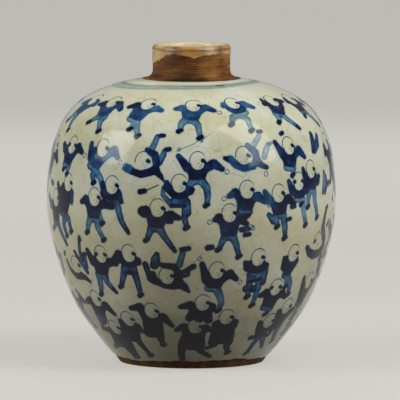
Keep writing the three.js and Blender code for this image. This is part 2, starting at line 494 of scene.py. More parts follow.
def head_parts(head, tuft="r", arc=(-95, 75)):
    """A reserved head, the fading arc over it, its tufts of hair and three small marks."""
    over = oval(beside(head, 0.2, 0.2), 5.7, 6.9, 12, *arc)
    fade = np.concatenate([np.linspace(1, 0.9, 8), np.linspace(0.8, 0.2, 4)])
    parts = [("head", [head, beside(head, 0.1, 1.4)], [4.7, 4.3], 0), ("line", over, fade, 0)]
    for side in tuft:
        way = 1 if side == "r" else -1
        ear = beside(head, 3.7 * way, -0.3)
        parts.append(("mark", [ear, beside(ear, 1.0 * way, 0.5)], [1.45, 1.25], 0.97))
    for right, down, length in ((0.5, 1.8, 0.3), (2.4, 2.6, 0.4), (1.5, 3.9, 0.4)):
        mark = beside(head, right, down)
        parts.append(("line", [mark, beside(mark, length, -0.1)], [1.0, 0.8], 0))
    return parts


def leg_parts(hip, way, trousers, wide=3.2):
    """A washed trouser leg that narrows to the ankle, and a dark slanting shoe."""
    course, shoe = [hip, *way], way[-1]
    last = between(course[-2], shoe)
    slant = last / np.hypot(*last) if last[0] > 0.55 * last[1] else np.array([0.87, -0.5])
    heel = beside(shoe, -1.2 * slant[0], -1.2 * slant[1])
    toe = beside(shoe, 1.2 * slant[0], 1.2 * slant[1])
    widths = np.linspace(wide, 1.8, len(course))
    return [("trousers", course, widths, trousers), ("shoe", [heel, toe], [1.9, 1.6], 0.97)]


def boy(head, left, right, hem, legs, ink=0.9, trousers=0.56, hands="", tuft="r", wide=6.0):
    """One boy, from places on the jar: the middle of the head, the way out along each
    sleeve, the middle of the jacket's hem and the way down each leg to the shoe. A sleeve
    stops just short of its last place. Ink is for the jacket, or for the left sleeve, the
    jacket and the right sleeve."""
    inks = (ink, ink, ink) if isinstance(ink, float) else ink
    down = between(head, hem)
    down /= np.hypot(*down)
    across = np.array([down[1], -down[0]])
    drawn_back, body_shapes = 0.9, []

    def from_head(along, aside):
        return beside(head, *(along * down + aside * across))

    def from_hem(aside, along=0.0):
        return beside(hem, *(along * down + aside * across))

    for side, way, tone in ((-1, left, inks[0]), (1, right, inks[2])):
        shoulder = from_head(5.2, 4.6 * side)
        course = [shoulder, *way]
        back = -between(course[-2], course[-1])
        course[-1] = beside(course[-1], *(drawn_back * back / np.hypot(*back)))
        widths = [3.2, 3.4, 2.0] if len(course) > 2 else [3.2, 2.9]
        body_shapes.append(("jacket", course, widths, tone))
        sides = [shoulder, from_hem((wide - 2.9) * side, -2.4)]
        body_shapes.append(("jacket", sides, [2.9, 3.0], inks[1]))
        if ("l" if side < 0 else "r") in hands:
            cuff = between(course[-2], course[-1])
            cuff *= 4.0 / np.hypot(*cuff)
            palm = beside(course[-1], *cuff)
            body_shapes.append(loop(palm, 1.5, 1.7, 0.75))
    collar = [from_head(4.6, -4.6), from_head(7.6, 0), from_head(4.6, 4.6)]
    body_shapes.append(("jacket", collar, [2.5, 2.6, 2.5], inks[1]))
    body_shapes.append(("jacket", [from_head(7.5, 0), from_hem(0, -2.2)], [2.8, 3.0], inks[1]))
    seat = [from_hem(-wide + 2.8, 0.8), from_hem(wide - 2.8, 0.8)]
    parts = [("trousers", seat, [2.9, 2.9], trousers)] if legs else []
    for way in legs:
        side = 1 if between(hem, way[-1]) @ across > 0 else -1
        hip = from_hem((wide - 3.0) * side, 1.0)
        parts += leg_parts(hip, way, trousers)
    figures.append(parts + body_shapes + head_parts(head, tuft))


def strokes(*parts):
    """A figure or toy given stroke by stroke: what it is, its course, widths and ink."""
    figures.append(list(parts))


# Top row, just under the shoulder, in a thinner blue
boy((-66, 41), [(-72, 44), (-76, 46.5)], [(-61, 44), (-59, 47)], (-70, 55),
    [[(-69, 62), (-68, 69)], [(-73, 58), (-75, 62.5)]], 0.68)
boy((-47.5, 41), [(-53, 43.5), (-57, 45)], [(-42, 42.5), (-37.5, 49)], (-47, 55),
    [[(-46, 60), (-44.5, 67)], [(-50, 57), (-53.5, 61)]], (0.8, 0.66, 0.72))
boy((-24, 41), [(-30, 42.5), (-34.5, 45.5)], [(-18.5, 45.5), (-14.5, 48)], (-27.5, 56),
    [[(-28, 64)], [(-25, 63), (-23.5, 69)]], (0.9, 0.66, 0.58), 0.45)
boy((1, 42), [(-4.5, 44.5), (-8.5, 46)], [(7, 44), (12, 48)], (-0.5, 55.5),
    [[(-4.5, 59), (-5, 64.5)], [(3, 60), (3.8, 69.5)]], (0.6, 0.66, 0.66), hands="r")
boy((23, 40), [(18.5, 41.5), (16.5, 44)], [(29, 41), (34, 46)], (25, 50),
    [[(20, 54), (18.5, 60)], [(27, 56), (27.5, 65)]], (0.6, 0.75, 0.6), 0.42)
boy((50, 40), [(45, 42), (41.5, 43.5)], [(55, 40.5), (59, 41.5)], (47, 53),
    [[(45, 57), (44, 60)], [(50, 58), (55, 65.5)]], (0.9, 0.75, 0.9))
strokes(("shoe", [(43.5, 37), (42.8, 40.5)], [1.3, 1.6], 0.9))
boy((69, 41), [(64.5, 41), (61.5, 44)], [(74, 44), (78, 49)], (68.5, 53),
    [[(66.5, 57.5)], [(72, 58), (76, 66)]], 0.88)

strokes(("shoe", [(23.5, 9.6), (28.5, 11.8)], [0.9, 0.7], 0.62))

# Second row
boy((-77, 81), [(-83, 82), (-86, 86)], [(-73.5, 87), (-70, 92.5)], (-80, 98),
    [[(-82, 106), (-83, 114)]], 0.9)
boy((-59, 79), [(-64.5, 82), (-67, 78.5)], [(-54, 80), (-50.5, 83.5)], (-60.5, 92),
    [[(-62.5, 96)], [(-59.5, 99)]], 0.88, 0.55, hands="r", tuft="lr")
boy((-39.5, 79), [(-45, 86), (-46.3, 75.5)], [(-33.5, 80), (-31, 85.5)], (-43, 92),
    [[(-38.5, 100), (-37, 109)], [(-43, 98), (-42, 103)]], (0.82, 0.76, 0.6), hands="r")
strokes(
    ("trousers", [(-17, 80), (-15.5, 74), (-14.5, 69)], [2.6, 2.3, 2.0], 0.62),
    ("shoe", [(-13.2, 68.4), (-11.8, 68.2)], [1.8, 1.6], 0.9),
    ("trousers", [(-13, 87), (-11.5, 82), (-11, 79)], [2.6, 2.2, 1.8], 0.6),
    ("shoe", [(-10.3, 78.2), (-9.0, 77.9)], [1.9, 1.7], 0.9),
    ("jacket", [(-18.5, 78.5), (-15, 82), (-14, 88)], [1.8, 2.8, 2.8], 0.88),
    ("jacket", [(-24, 93.8), (-20.5, 95.6), (-17, 94), (-14.5, 92)], [2.4, 2.6, 2.8, 3.0], 0.97),
    ("jacket", [(-14.5, 92.5), (-12.2, 96.5), (-11, 99.5)], [2.8, 1.9, 0.8], 0.98),
    ("jacket", [(-27, 91.3), (-25.5, 92.3)], [3.0, 3.1], 0.66),
    *head_parts((-20, 86.5)),
)
boy((2.5, 86), [(-1.5, 90.5), (-5.5, 82)], [(9, 88), (12.8, 92)], (2.3, 98.5),
    [[(6, 104), (6.5, 110), (6, 116)], [(-0.5, 103), (0, 106)]], 0.9, 0.6, hands="r")
strokes(
    ("line", [(-6.5, 79.5), (1, 74), (9, 66.5)], [0.7, 0.8, 0.6], 0),
    loop((-5, 78), 1.0, 1.3, 0.7, 7),
    loop((4.5, 71.5), 0.8, 1.5, 0.7, 7),
    ("line", [(3.5, 74), (6.5, 68.5)], [0.6, 0.6], 0),
)
strokes(
    ("trousers", [(26, 77), (29.5, 71), (31, 67)], [2.4, 2.0, 1.6], 0.34),
    ("shoe", [(30.3, 66.3), (31.8, 66.2)], [1.6, 1.5], 0.97),
    ("trousers", [(31, 84), (32.5, 79), (34, 75.5)], [2.4, 2.4, 1.7], 0.34),
    ("shoe", [(34, 75.5), (35.5, 75)], [1.5, 1.2], 0.6),
    ("jacket", [(24, 76), (27, 81), (27.5, 87)], [2.2, 2.8, 3.0], 0.72),
    ("jacket", [(16, 85), (18.2, 89), (21.5, 91.3), (25.5, 90)], [2.8, 2.8, 2.8, 2.8], 0.76),
    ("jacket", [(27, 87), (29.5, 90), (31.5, 91.5)], [2.6, 2.2, 1.8], 0.8),
    ("jacket", [(13.8, 84.3), (14.6, 85)], [1.7, 1.7], 0.92),
    loop((31, 96), 1.4, 1.8),
    *head_parts((21.5, 83)),
)
boy((44.5, 78), [(40.5, 84), (37.3, 74)], [(50, 81.5), (53.3, 87)], (43.3, 92),
    [[(44.5, 98)]], 0.88, 0.48)
strokes(
    ("jacket", [(62.5, 71.8), (61.5, 79), (60, 83.5)], [2.4, 3.2, 2.0], 0.82),
    ("jacket", [(67.5, 73), (65, 79), (61.5, 83.5)], [2.0, 3.0, 2.0], 0.78),
)
boy((56, 95.7), [(52, 104), (50.7, 94)], [(60, 104), (62, 100.5)], (55.5, 109),
    [[(53, 115), (52.8, 120.8)], [(57.5, 117), (59.5, 129)]], 0.92, 0.5)
strokes(
    ("trousers", [(66.8, 99), (66.5, 106), (64.5, 112.5)], [1.8, 3.4, 1.8], 0.6),
    ("jacket", [(68.2, 101), (69.3, 107), (66.5, 113.5)], [1.0, 1.5, 1.4], 0.85),
)
boy((47.5, 103), [(43.7, 109), (41.8, 101.5)], [(52, 109), (53.5, 105)], (47.5, 114),
    [[(48.7, 118.3)], [(50, 124), (51.7, 133.3)]], (0.8, 0.94, 0.94), 0.42, tuft="lr")
boy((36.5, 110), [(32.5, 114.5), (29.8, 107.5)], [(41.5, 114), (45, 118)], (37, 124),
    [[(35.5, 128), (36, 132.5)], [(40, 134), (40.5, 141)]], (0.74, 0.9, 1.0), 0.6)
strokes(("trousers", [(31.8, 124), (34, 128.5)], [1.9, 2.6], 0.6),
        ("jacket", [(43, 119.8), (45, 119.6)], [1.7, 1.5], 0.88))
boy((22.3, 106.3), [(17.5, 108), (14.5, 110.5)], [(27, 111), (30.5, 115.5)], (21.3, 120),
    [[(22.5, 124)]], (0.85, 0.88, 0.8), 0.6, hands="lr")
boy((-4.8, 101.5), [(-9.3, 104), (-9.8, 100)], [(-0.8, 106), (-0.3, 108)], (-4.5, 111.5),
    [[(-2.2, 118), (-2.6, 125), (-1.8, 131.5)]], 0.92, 0.7)
strokes(
    ("trousers", [(-11, 104), (-11.2, 109), (-8.5, 114.5)], [1.3, 1.7, 2.0], 0.62),
    ("trousers", [(-7, 113.5), (-2, 114), (-1.8, 121)], [2.6, 3.2, 3.2], 0.7),
    ("line", [(-13, 102.5), (-18, 106.5)], [1.2, 1.2], 0),
    ("shoe", [(-20.5, 107.5), (-18.5, 106.8)], [2.0, 1.9], 0.95),
    ("jacket", [(-8, 116.5), (-2.5, 116.5)], [1.5, 1.5], 0.9),
)

# Third row, in full dark blue
boy((-33, 104), [(-36.5, 110), (-37.5, 102)], [(-30, 110.5), (-28.3, 115.5)], (-33, 113.5),
    [[(-30, 119), (-28.5, 128), (-26, 135)]], 0.9, 0.66)
boy((-41.5, 113), [(-46, 115), (-49, 117)], [(-37, 117), (-32, 119)], (-42, 127),
    [[(-45, 132), (-46, 137.5)], [(-40, 134), (-37.5, 142)]], (0.9, 0.9, 1.0), 0.5)
strokes(*leg_parts((-38.6, 124), [(-37.5, 130.5)], 0.5, 1.8))
boy((-58, 105), [(-64.5, 114), (-67, 106)], [(-55.5, 112), (-55, 119)], (-61.5, 126),
    [[(-57.5, 130), (-56.5, 138.5)], [(-62, 134), (-60.5, 142)]], (0.95, 0.98, 0.8), 0.62)
boy((-68.5, 117), [(-74, 122.5), (-79, 115.5)], [(-65, 121), (-63, 126)], (-69, 133),
    [[(-65.5, 140), (-62.5, 147.5)], [(-71, 136), (-74, 139)]], (0.85, 1.0, 0.95), 0.6)
boy((-13.3, 118.5), [(-18, 120), (-20.5, 121)], [(-8, 123), (-4.5, 125)], (-14, 131.5),
    [[(-16.5, 135), (-18, 140.5)], [(-11, 137), (-7, 147)]], (1.0, 0.92, 1.0), 0.62)
strokes(
    ("jacket", [(-18.6, 121.6), (-19.4, 120.6)], [3.6, 3.6], 1.0),
    ("jacket", [(-9.4, 127.2), (-8.0, 127)], [1.9, 2.1], 0.84),
)
boy((15, 122), [(10.8, 125), (8.8, 126.5)], [(19.5, 126), (22.5, 130)], (15, 137.5),
    [[(12.5, 141), (11, 147)], [(18, 143), (19.8, 152.5)]], (0.97, 0.88, 1.0), 0.6, hands="lr")
strokes(
    ("jacket", [(20, 133.5), (23, 133)], [2.0, 1.9], 0.84),
    loop((25, 132.5), 1.1, 1.8, 0.75),
    ("shoe", [(6.6, 145.6), (8.2, 145.3)], [2.2, 2.1], 1.0),
    ("shoe", [(21.6, 137.2), (23.6, 136.8)], [1.8, 1.6], 1.0),
    ("shoe", [(40.5, 128.4), (42.6, 127.6)], [1.6, 1.5], 0.9),
    ("shoe", [(42, 69), (43.2, 68.2)], [1.7, 1.6], 0.9),
)
strokes(
    ("trousers", [(68.5, 144), (66, 137), (66.5, 130), (68, 124)], [3.2, 2.8, 2.0, 1.5], 0.72),
    ("shoe", [(67.6, 124.2), (69.2, 122.8)], [1.6, 1.4], 0.9),
    ("shoe", [(70.4, 136), (71.6, 133.6)], [1.6, 1.5], 0.97),
    ("jacket", [(55.3, 149.8), (58, 154), (62, 156.2), (67, 155.6), (70.4, 152), (69.6, 145.8)],
     [2.0, 2.9, 3.2, 3.3, 3.2, 2.6], 0.95),
    ("shoe", [(69.5, 161), (70.8, 158.8)], [1.3, 1.2], 0.97),
    *head_parts((63, 146.5), tuft="l", arc=(-100, 60)),
)

# Fourth row
boy((-40.5, 153), [(-45.8, 158.5), (-48, 150)], [(-36, 158), (-32.5, 159)], (-42, 167.5),
    [[(-44, 175), (-45.5, 183)], [(-40, 173), (-36.5, 179.5)]], 1.0, 0.6, tuft="lr")
boy((-26.5, 151), [(-31, 152), (-34.5, 156)], [(-23, 156), (-22, 158)], (-27, 160),
    [[(-30.5, 168), (-32.5, 175.5)], [(-24, 171), (-23.3, 181.5)]], 1.0, 0.7)
strokes(
    ("jacket", [(-29.5, 165), (-25.5, 165)], [1.5, 1.6], 0.95),
    ("jacket", [(-31.5, 151.5), (-32.5, 156)], [2.8, 3.2], 1.0),
)
strokes(
    ("trousers", [(-52, 143.5), (-53, 152), (-52.5, 158)], [1.6, 1.7, 2.2], 0.7),
    ("shoe", [(-51.3, 143.5), (-51.6, 141.8)], [1.7, 1.5], 0.85),
    ("trousers", [(-57, 153), (-54, 160), (-51, 167)], [1.5, 2.0, 2.0], 0.75),
    ("trousers", [(-50.5, 155.5), (-50.5, 163)], [2.2, 2.0], 0.6),
    ("shoe", [(-51.3, 154.4), (-49.6, 153.8)], [1.7, 1.6], 0.8),
    ("shoe", [(-67.2, 156.6), (-65.8, 154.6)], [1.3, 1.3], 0.95),
    ("jacket", [(-66, 161), (-65, 167), (-61, 171.5), (-57, 171)], [1.6, 2.2, 2.4, 2.8], 0.9),
    ("jacket", [(-56.5, 170), (-53, 172), (-50.6, 174.5)], [2.8, 2.3, 1.2], 1.0),
    *head_parts((-58.5, 163)),
)
strokes(
    ("trousers", [(-19.5, 158), (-18, 167)], [2.2, 2.2], 0.8),
    ("trousers", [(-14.2, 150.5), (-15.2, 154), (-15.5, 158.5)], [1.8, 2.6, 3.2], 0.72),
    ("jacket", [(-13.5, 150), (-13.3, 158)], [0.9, 1.0], 0.9),
    ("trousers", [(-5, 158), (-3.6, 150)], [2.5, 2.2], 0.6),
    ("shoe", [(-3.8, 147), (-1, 146)], [2.0, 1.8], 0.98),
    ("trousers", [(-6, 166), (-2.2, 164)], [3.0, 3.0], 0.72),
    ("shoe", [(-2, 162), (1, 159)], [1.8, 2.0], 1.0),
    ("jacket", [(-12, 158.5), (-7, 159.5), (-4.8, 166), (-7, 172)], [2.0, 2.6, 2.6, 2.6], 0.9),
    ("jacket", [(-17.8, 168.5), (-15, 170.5), (-11.7, 173.2), (-8, 174), (-5.5, 172.4)],
     [2.6, 2.8, 2.6, 2.6, 3.4], 1.0),
    ("jacket", [(-5.5, 171), (-3, 174.5), (-1.2, 177.8)], [3.4, 2.9, 1.3], 1.0),
    ("jacket", [(-16.5, 165), (-16, 170)], [2.2, 2.8], 0.97),
    *head_parts((-10.5, 166.5)),
)
boy((10.7, 162.5), [(6.5, 169), (4.3, 156.5)], [(16.5, 165), (20, 169.5)], (9.5, 175),
    [[(13, 182), (14, 187), (13, 193)]], 1.0, 0.5, hands="r")
strokes(
    loop((3.3, 153.5), 1.6, 1.3),
    ("line", [(3.2, 152.2), (4.6, 148.8)], [0.8, 0.4], 0),
    ("line", [(29.7, 143), (28.5, 150)], [0.5, 0.2], 0),
)
boy((28.5, 154), [(24.2, 160.5), (22.7, 156.5)], [(31.8, 161), (32.8, 159.5)], (28, 165),
    [[(26, 174), (26.3, 183)], [(31, 176), (29.7, 190)]], (1.0, 0.95, 0.9), 0.6)
strokes(
    ("jacket", [(36.5, 219.2), (43, 218)], [2.1, 2.3], 0.95),
    ("jacket", [(25.5, 171.8), (31, 169.8)], [1.5, 1.5], 0.95),
    ("trousers", [(33, 160), (32.5, 172)], [2.4, 3.0], 0.72),
    ("trousers", [(25, 176.5), (29, 177)], [3.0, 3.0], 0.7),
)
boy((47, 153), [(43, 162), (42, 155)], [(48.5, 160), (50, 157)], (45.5, 168),
    [[(46.5, 172), (47, 177.5)], [(49.5, 176), (50.5, 184)]], (1.0, 1.0, 0.95), 0.6, wide=4.6)
boy((41, 177.5), [(35.8, 181), (32.5, 183)], [(46, 182.5), (49, 186)], (39, 192),
    [[(39.5, 198)]], 1.0, 0.6, tuft="lr")
boy((66, 176), [(61.5, 184), (59.5, 172)], [(70, 180), (74, 174)], (64, 192),
    [[(64, 198), (64.5, 204)]], 1.0, 0.6)

# Lowest rows, down to the foot
boy((5.2, 187), [(-0.5, 188.5), (-5.5, 190)], [(9.5, 190), (10.5, 193)], (3.5, 202.5),
    [], 1.0, wide=9.5)
boy((-19.5, 194), [(-25, 191), (-30.5, 192.5)], [(-14, 198.5), (-9.8, 206.5)], (-21, 214),
    [[(-18, 219), (-17, 224)]], 1.0, 0.95, wide=7.2)
boy((-34, 202), [(-38.5, 210), (-39.5, 203)], [(-30, 208), (-27.5, 213)], (-37, 219),
    [[(-41, 228), (-41, 238)], [(-32, 226), (-28.5, 235)]], 1.0, 0.95, wide=7.6)
boy((-46.5, 211), [(-52, 214.5), (-57.5, 213.5)], [(-42, 216), (-40, 219)], (-49, 226),
    [[(-55, 228), (-58.5, 230)], [(-46, 231), (-43, 238)]], 1.0, 0.9, wide=7.4)
boy((-51, 187.5), [(-56, 189.5), (-60.5, 191)], [(-45, 192), (-41, 199)], (-53, 201),
    [[(-52.5, 207)], [(-56, 208), (-58, 213)]], 1.0, 0.72)
boy((-70, 184), [(-75, 189), (-78, 187)], [(-66, 188), (-62.5, 192)], (-72, 198),
    [[(-74, 204), (-76, 210)], [(-69, 206), (-68, 213)]], 1.0, 0.75)
boy((2, 207), [(-4, 207), (-8.5, 210)], [(7.5, 208), (11, 210.5)], (0, 225),
    [[(-6.5, 232), (-6.5, 241)], [(6, 230), (11.5, 234.5)]], 1.0, 1.0, wide=9.2)
boy((17.6, 199), [(13, 205), (12, 211)], [(22.5, 204), (23.5, 208)], (17.5, 220),
    [[(14, 224), (11, 226)], [(22, 226), (24.5, 232)]], 1.0, 0.9, wide=9.0)
boy((44.5, 205), [(40, 211), (38, 204.5)], [(50, 210.5), (55, 208)], (43, 214),
    [[(41.5, 224), (40, 234)], [(47, 221), (51, 228.5)]], 1.0, 0.72)
boy((53.5, 194), [(49.5, 202), (48, 196)], [(58, 200), (61, 196)], (53, 209),
    [[(51, 213), (50, 218)], [(56, 216), (59, 225)]], (1.0, 0.95, 0.9), 0.7)
boy((71, 205), [(67, 206), (65, 200)], [(76, 209), (79, 204)], (70, 218),
    [[(69, 224), (70.5, 231)]], 1.0, 0.7)

# The same games go round the back, and a column of them fills each side.
front = list(figures)


def moved_round(parts, place):
    """The same figure with each azimuth changed by a rule."""
    return [
        (kind, [(place(azimuth), down) for azimuth, down in course], widths, ink)
        for kind, course, widths, ink in parts
    ]


for parts in front:
    where = np.mean([place[0] for part in parts for place in part[1]])
    figures.append(moved_round(parts, lambda azimuth: azimuth + 180))
    if abs(where) < 11:
        figures.append(moved_round(parts, lambda azimuth: azimuth + 90))
        figures.append(moved_round(parts, lambda azimuth: -93 - azimuth))
boy((76, 79), [(72.6, 82.5), (71, 88)], [(80, 84), (82, 89)], (77.5, 95),
    [[(78, 104), (80, 112)], [(75, 101), (74, 106)]], 0.92, 0.75)
boy((98, 139), [(93.5, 144), (91, 139.5)], [(102, 144), (105, 149)], (98, 154),
    [[(95, 161), (92, 168)], [(100.5, 162), (102.5, 172)]], 0.97, 0.6, hands="r", tuft="lr")
boy((78, 132), [(74.5, 136.5), (76, 141)], [(82, 135), (85, 131)], (79, 144),
    [[(77, 150)], [(82, 148)]], 0.95, 0.65)
boy((258.5, 127), [(254, 132), (252, 128)], [(263, 131), (265.5, 127)], (258.5, 142),
    [[(256, 149), (254.5, 156)], [(261, 149), (263, 155)]], (0.95, 0.9, 1.0), 0.6, hands="l")
strokes(("shoe", [(76, 117.5), (76.6, 120)], [1.4, 1.4], 0.95))


def chain(x, y, course, widths, line=False):
    """How far a point lies outside a chain of round-ended strokes that swell or narrow
    from one place to the next. It is the least, over the stretches, of the distance to the
    stretch's middle line less the width there. For a thin line it is the squared distance
    instead, plus a little where the line fades."""
    nearest = np.full(x.shape, 1e3)
    for k in range(len(course) - 1):
        (ax, ay), (bx, by) = course[k], course[k + 1]
        along = (x - ax) * (bx - ax) + (y - ay) * (by - ay)
        share = np.clip(along / max((bx - ax) ** 2 + (by - ay) ** 2, 1e-9), 0, 1)
        away = (x - ax - share * (bx - ax)) ** 2 + (y - ay - share * (by - ay)) ** 2
        width = widths[k] + (widths[k + 1] - widths[k]) * share
        reach = away + 0.35 * (1 - width) if line else np.sqrt(away) - width
        nearest = np.minimum(nearest, reach)
    return nearest


def soft_least(a, b, reach=1.4):
    """The lesser of two distances, rounded where they are nearly equal, as wet strokes
    run together."""
    share = np.clip(reach - np.abs(a - b), 0, None) / reach
    return np.minimum(a, b) - share**2 * reach / 4


def lay(reaches, inks, window, reach, ink):
    """Lays a stroke on part of the painting, with its ink where it is the nearest so far."""
    inks[window] = np.where(reach < reaches[window], ink, inks[window])
    reaches[window] = np.minimum(reaches[window], reach)


def paint(azimuth, down):
    """Works out the painting on a grid of places. Gives the distance outside the jackets
    and shoes, outside the washes, the squared distance to the nearest thin line, and the
    ink of the jackets and of the washes."""
    far, beyond_sides, beyond_ends = 3.0, 8.0, 7.0
    jacket, wash, line, marks, reserve = (np.full(down.shape, far) for _ in range(5))
    jacket_ink, wash_ink, mark_ink = (np.full(down.shape, usual) for usual in (0.9, 0.5, 0.9))
    top, bottom = down.min(axis=1), down.max(axis=1)
    for parts in figures:
        places = np.array([place for part in parts for place in part[1]])
        centre = places.mean(axis=0)
        first, last = places[:, 1].min() - beyond_ends, places[:, 1].max() + beyond_ends
        margin = np.degrees(beyond_sides / radius_at(places[:, 1].max()))
        half = np.abs(places[:, 0] - centre[0]).max() + margin
        turn = (azimuth - centre[0] + 180) % 360 - 180
        columns = np.flatnonzero(np.abs(turn) < half)
        rows = np.flatnonzero((bottom > first) & (top < last))
        if not (len(columns) and len(rows)):
            continue
        window = np.ix_(rows, columns)
        y = down[window] - centre[1]
        x = np.radians(turn[columns])[None, :] * radius_at(down[window])
        cloth = None
        weights, inks = np.zeros(x.shape), np.zeros(x.shape)
        for kind, course, widths, ink in parts:
            local = [
                (np.radians(a - centre[0]) * radius_at(d), d - centre[1]) for a, d in course
            ]
            reach = chain(x, y, local, widths, kind == "line")
            if kind == "jacket":
                weight = np.exp(-np.clip(reach + 3, 0, 8) * 3.5)
                weights += weight
                inks += weight * ink
                cloth = reach if cloth is None else soft_least(cloth, reach)
            elif kind == "trousers":
                low = np.clip((y - local[0][1]) / (local[-1][1] - local[0][1] + 1e-9), 0, 1)
                lay(wash, wash_ink, window, reach, ink * (0.98 + 0.55 * (low - 0.45) ** 2))
            elif kind in ("mark", "shoe"):
                lay(marks, mark_ink, window, reach, ink)
            else:
                field = reserve if kind == "head" else line
                field[window] = np.minimum(field[window], reach)
        if cloth is not None:
            lay(jacket, jacket_ink, window, cloth, inks / np.maximum(weights, 1e-9))
    jacket = np.maximum(jacket, 0.2 - reserve)
    wash = np.maximum(wash, 0.3 - reserve)
    jacket_ink = np.where(marks < jacket, mark_ink, jacket_ink)
    return np.minimum(jacket, marks), wash, line, jacket_ink, wash_ink


# Glaze on the body: a crackled cream coat over the painting, from a ragged edge above the
# foot to a neat one round the neck. It is four shells, each closed with a plain back.
columns_round, upper_rows, lower_rows = 470, 182, 204
back_rows, back_columns, shell_depth = 13, 31, 0.75
painted = "jackets", "washes", "lines", "jacket_ink", "wash_ink", "ring", "pale_ring", "down"


def foot_edge(azimuth):
    """How far down the glaze runs at each azimuth, a few millimetres short of the foot's
    bare ring, from waves of 3, 7, 16 and 41 to the round."""
    turn = np.radians(azimuth)
    ragged = 1.0 * np.cos(3 * turn + 2.2) + 0.55 * np.sin(7 * turn + 0.7)
    ragged += 0.4 * np.sin(16 * turn + 1.0) + 0.25 * np.sin(41 * turn)
    return foot_down - 1.9 + np.clip(ragged, -1.8, 1.8)


def body_points(azimuth, down, inset=0.0):
    """Points on the body in metres: the outline's radius turned to each azimuth, with a
    thrower's slight unevenness, and its height. Inset moves them in along the radius."""
    turn = np.radians(azimuth)
    radius = radius_at(down)
    height = np.interp(down, outline_down, outline[:, 1])
    uneven = 0.10 * np.sin(3 * turn + down / 21.0) + 0.07 * np.sin(5 * turn - down / 13.0)
    uneven -= 0.17  # keeps every wave inside the outline
    fade = np.clip(np.minimum(down, foot_down - down) / 25.0, 0, 1)
    radius = radius + uneven * fade - inset
    return np.stack([radius * np.sin(turn), -radius * np.cos(turn), height], -1) * MILLIMETRE


def rim_of(grid):
    """The numbers round the edge of a grid, in order."""
    return np.concatenate([grid[0, :-1], grid[:-1, -1], grid[-1, :0:-1], grid[:0:-1, 0]])


def shoulder_rings(azimuth, down):
    """How strong the blue-green ring and the pale one above it are at each place. The first
    is a band between two wavy lines with a soft stroke along each. The second falls off as e
    to the minus the square of the distance from its middle."""
    turn = np.radians(azimuth)[None, :]
    middle = 13.0 - 2.6 * np.sin(turn + 0.3) + 0.5 * np.sin(5 * turn)
    first_line, last_line = middle - 1.2, middle + 4.0 - 2.4 * np.sin(turn - 0.5)
    edges = np.minimum(down - first_line + 2.6, last_line - down + 0.6)
    ring = 0.60 * np.clip(edges / 1.2, 0, 1) * (1 + 0.12 * np.sin(3 * turn + down / 2.0))
    ring += 0.36 * np.exp(-(((down - first_line) / 1.2) ** 2)) * (1 + 0.3 * np.sin(4 * turn))
    ring += 0.38 * np.exp(-(((down - last_line) / 0.7) ** 2)) * (1 + 0.3 * np.cos(3 * turn))
    return ring, 0.7 * np.exp(-(((down - middle + 7.6) / 2.0) ** 2))


def glaze_shell(name, azimuth, down):
    """A closed shell of glaze. The face is a fine grid of places, the back is the same patch
    in a coarse grid a little deeper, and a band of triangles joins their rims. The painting
    and the rings are kept on its points."""
    rows, columns = down.shape
    face = body_points(azimuth[None, :], down)
    index = np.arange(rows * columns).reshape(rows, columns)
    pick_rows = np.linspace(0, rows - 1, back_rows).astype(int)
    pick_columns = np.linspace(0, columns - 1, back_columns).astype(int)
    picked = np.ix_(pick_rows, pick_columns)
    back = body_points(azimuth[None, pick_columns], down[picked], shell_depth)
    back_index = index.size + np.arange(back[..., 0].size).reshape(back.shape[:2])

    def quads(grid, flip):
        a, b, c, d = grid[:-1, :-1], grid[1:, :-1], grid[1:, 1:], grid[:-1, 1:]
        corners = (a, d, c, b) if flip else (a, b, c, d)
        return np.stack([corner.ravel() for corner in corners], -1).tolist()

    rim, back_rim = rim_of(index), rim_of(back_index)
    turn_at = np.searchsorted(
        np.flatnonzero(np.isin(rim, index[picked])), np.arange(len(rim)), side="right"
    )
    near = back_rim[(turn_at - 1) % len(back_rim)]
    ahead, near_ahead = np.roll(rim, -1), np.roll(near, -1)
    band = np.column_stack([rim, ahead, near]).tolist()
    step = near_ahead != near
    band += np.column_stack([ahead[step], near_ahead[step], near[step]]).tolist()
    points = np.vstack([face.reshape(-1, 3), back.reshape(-1, 3)])
    faces = quads(index, False) + quads(back_index, True) + band
    made = shaped(name, points, faces)
    filler = np.zeros(back[..., 0].size)
    fields = (*paint(azimuth, down), *shoulder_rings(azimuth, down), down)
    for attribute, values in zip(painted, fields):
        data = made.data.attributes.new(attribute, "FLOAT", "POINT").data
        data.foreach_set("value", np.concatenate([values.ravel(), filler]).astype(np.float32))
    return made


cream_glaze = Finish("crackled_cream_glaze", Specular_IOR_Level=0.28)
spread, times, mix = cream_glaze.spread, cream_glaze.times, cream_glaze.mix
jackets, washes, lines, jacket_ink, wash_ink, ring, pale_ring, down = (
    cream_glaze.node("Attribute", attribute_name=name).outputs["Fac"] for name in painted
)
clouds = cream_glaze.noise(28, 3, 0.6)
blots = cream_glaze.noise(170, 4, 0.6)
bristle = cream_glaze.noise(1100, 3, 0.6)
